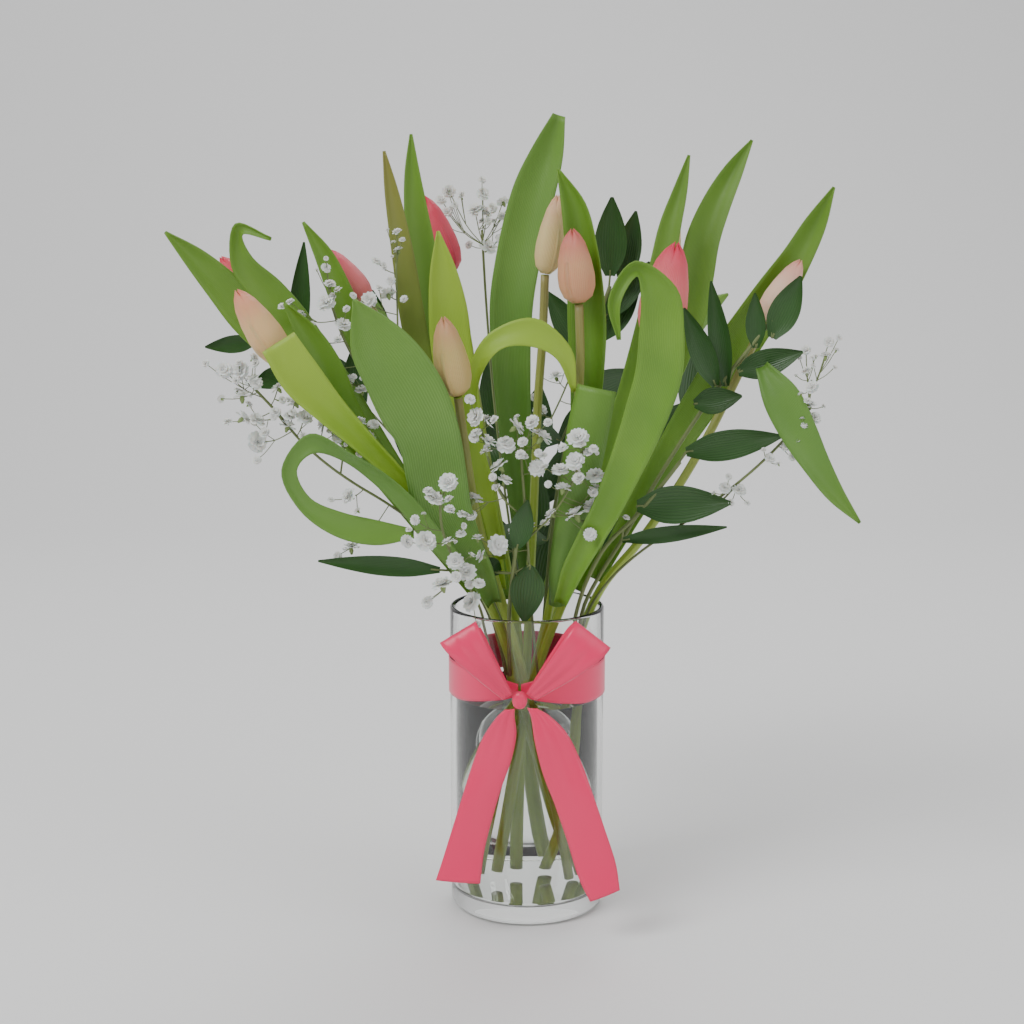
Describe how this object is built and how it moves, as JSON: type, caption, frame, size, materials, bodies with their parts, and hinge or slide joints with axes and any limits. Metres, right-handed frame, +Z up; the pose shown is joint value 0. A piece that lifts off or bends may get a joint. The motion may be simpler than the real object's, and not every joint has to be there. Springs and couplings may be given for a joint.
{
  "type": "flower_arrangement",
  "caption": "Hand-tied bouquet of pink and cream tulips with ruscus and gypsophila, standing in water in a clear glass cylinder vase tied with a coral satin ribbon bow",
  "frame": {"origin": "centre of the underside of the vase", "axes": "+X to the right seen from the side with the bow, +Y away from the bow to the back, +Z up along the vase axis"},
  "size_m": [0.4276, 0.2391, 0.5138],
  "materials": {
    "glass": "clear polished glass",
    "water": "clear water",
    "satin": "satin ribbon",
    "leaf": "waxy living leaf",
    "stem": "smooth living stem",
    "petal": "soft petal",
    "ruscus": "leathery leaf",
    "gypsophila": "matt small petals"
  },
  "bodies": {
    "root": {"bow_knot": "satin", "bow_loop_left": "satin", "bow_loop_right": "satin", "glass_vase": "glass", "gypsophila_back": "gypsophila", "gypsophila_centre": "gypsophila", "gypsophila_inner": "gypsophila", "gypsophila_left": "gypsophila", "gypsophila_neck": "gypsophila", "gypsophila_right": "gypsophila", "leaf_arch": "leaf", "leaf_back_left": "leaf", "leaf_back_right": "leaf", "leaf_behind_bud": "leaf", "leaf_front_left": "leaf", "leaf_front_right": "leaf", "leaf_hooked": "leaf", "leaf_keeled": "leaf", "leaf_left_inner": "leaf", "leaf_left_long": "leaf", "leaf_left_top": "leaf", "leaf_loop_left": "leaf", "leaf_olive": "leaf", "leaf_panel": "leaf", "leaf_right_hanging": "leaf", "leaf_right_tall": "leaf", "leaf_top_centre": "leaf", "leaf_top_left": "leaf", "leaf_top_right": "leaf", "leaf_top_right_low": "leaf", "leaf_wrap": "leaf", "ribbon_band": "satin", "ribbon_tail_left": "satin", "ribbon_tail_right": "satin", "ruscus_back": "ruscus", "ruscus_front": "ruscus", "ruscus_left": "ruscus", "ruscus_right": "ruscus", "ruscus_right_low": "ruscus", "tulip_bud_01": "petal", "tulip_bud_02": "petal", "tulip_bud_03": "petal", "tulip_bud_04": "petal", "tulip_bud_05": "petal", "tulip_bud_06": "petal", "tulip_bud_07": "petal", "tulip_bud_08": "petal", "tulip_bud_09": "petal", "tulip_bud_10": "petal", "tulip_stem_01": "stem", "tulip_stem_02": "stem", "tulip_stem_03": "stem", "tulip_stem_04": "stem", "tulip_stem_05": "stem", "tulip_stem_06": "stem", "tulip_stem_07": "stem", "tulip_stem_08": "stem", "tulip_stem_09": "stem", "tulip_stem_10": "stem", "water": "water"}
  },
  "joints": []
}
